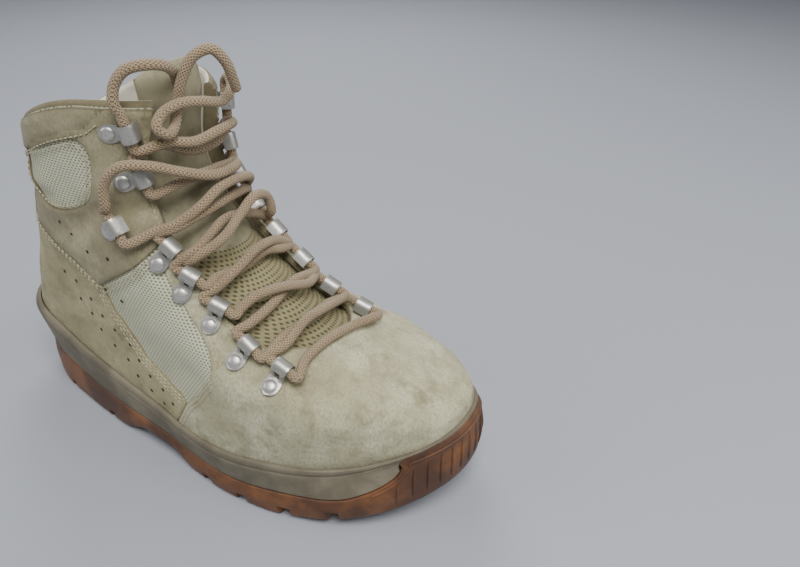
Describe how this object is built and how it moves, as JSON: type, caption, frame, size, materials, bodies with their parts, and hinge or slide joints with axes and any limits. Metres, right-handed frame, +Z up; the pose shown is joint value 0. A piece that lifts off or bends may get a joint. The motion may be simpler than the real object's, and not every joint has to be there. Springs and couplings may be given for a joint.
{
  "type": "combat boot",
  "caption": "Right ankle-high lace-up boot: hollow suede and mesh upper on a foam midsole and a lugged rubber outsole, with tongue, insole, riveted hooks and cord lace.",
  "frame": {"origin": "on the floor, under the middle of the boot's bounding box without the loose lace", "axes": "+X towards the toe, +Y towards the medial (inner) side, +Z up"},
  "size_m": [0.3, 0.1139, 0.2305],
  "materials": {
    "rubber": "moulded brown gum rubber",
    "foam": "moulded grey-beige midsole foam",
    "suede": "sand suede and mesh fabric",
    "felt": "grey-brown fabric-covered foam",
    "steel": "dull silver-grey metal",
    "cord": "tan braided round cord"
  },
  "bodies": {
    "root": {"outsole": "rubber", "midsole": "foam", "upper": "suede", "tongue": "suede", "insole": "felt", "hook_lateral_8": "steel", "hook_lateral_7": "steel", "hook_lateral_6": "steel", "hook_lateral_5": "steel", "hook_lateral_4": "steel", "hook_lateral_3": "steel", "hook_lateral_2": "steel", "hook_lateral_1": "steel", "hook_medial_8": "steel", "hook_medial_7": "steel", "hook_medial_6": "steel", "hook_medial_5": "steel", "hook_medial_4": "steel", "hook_medial_3": "steel", "hook_medial_2": "steel", "hook_medial_1": "steel", "lace_crossings": "cord", "lace_end_lateral": "cord", "lace_end_medial": "cord"}
  },
  "joints": []
}
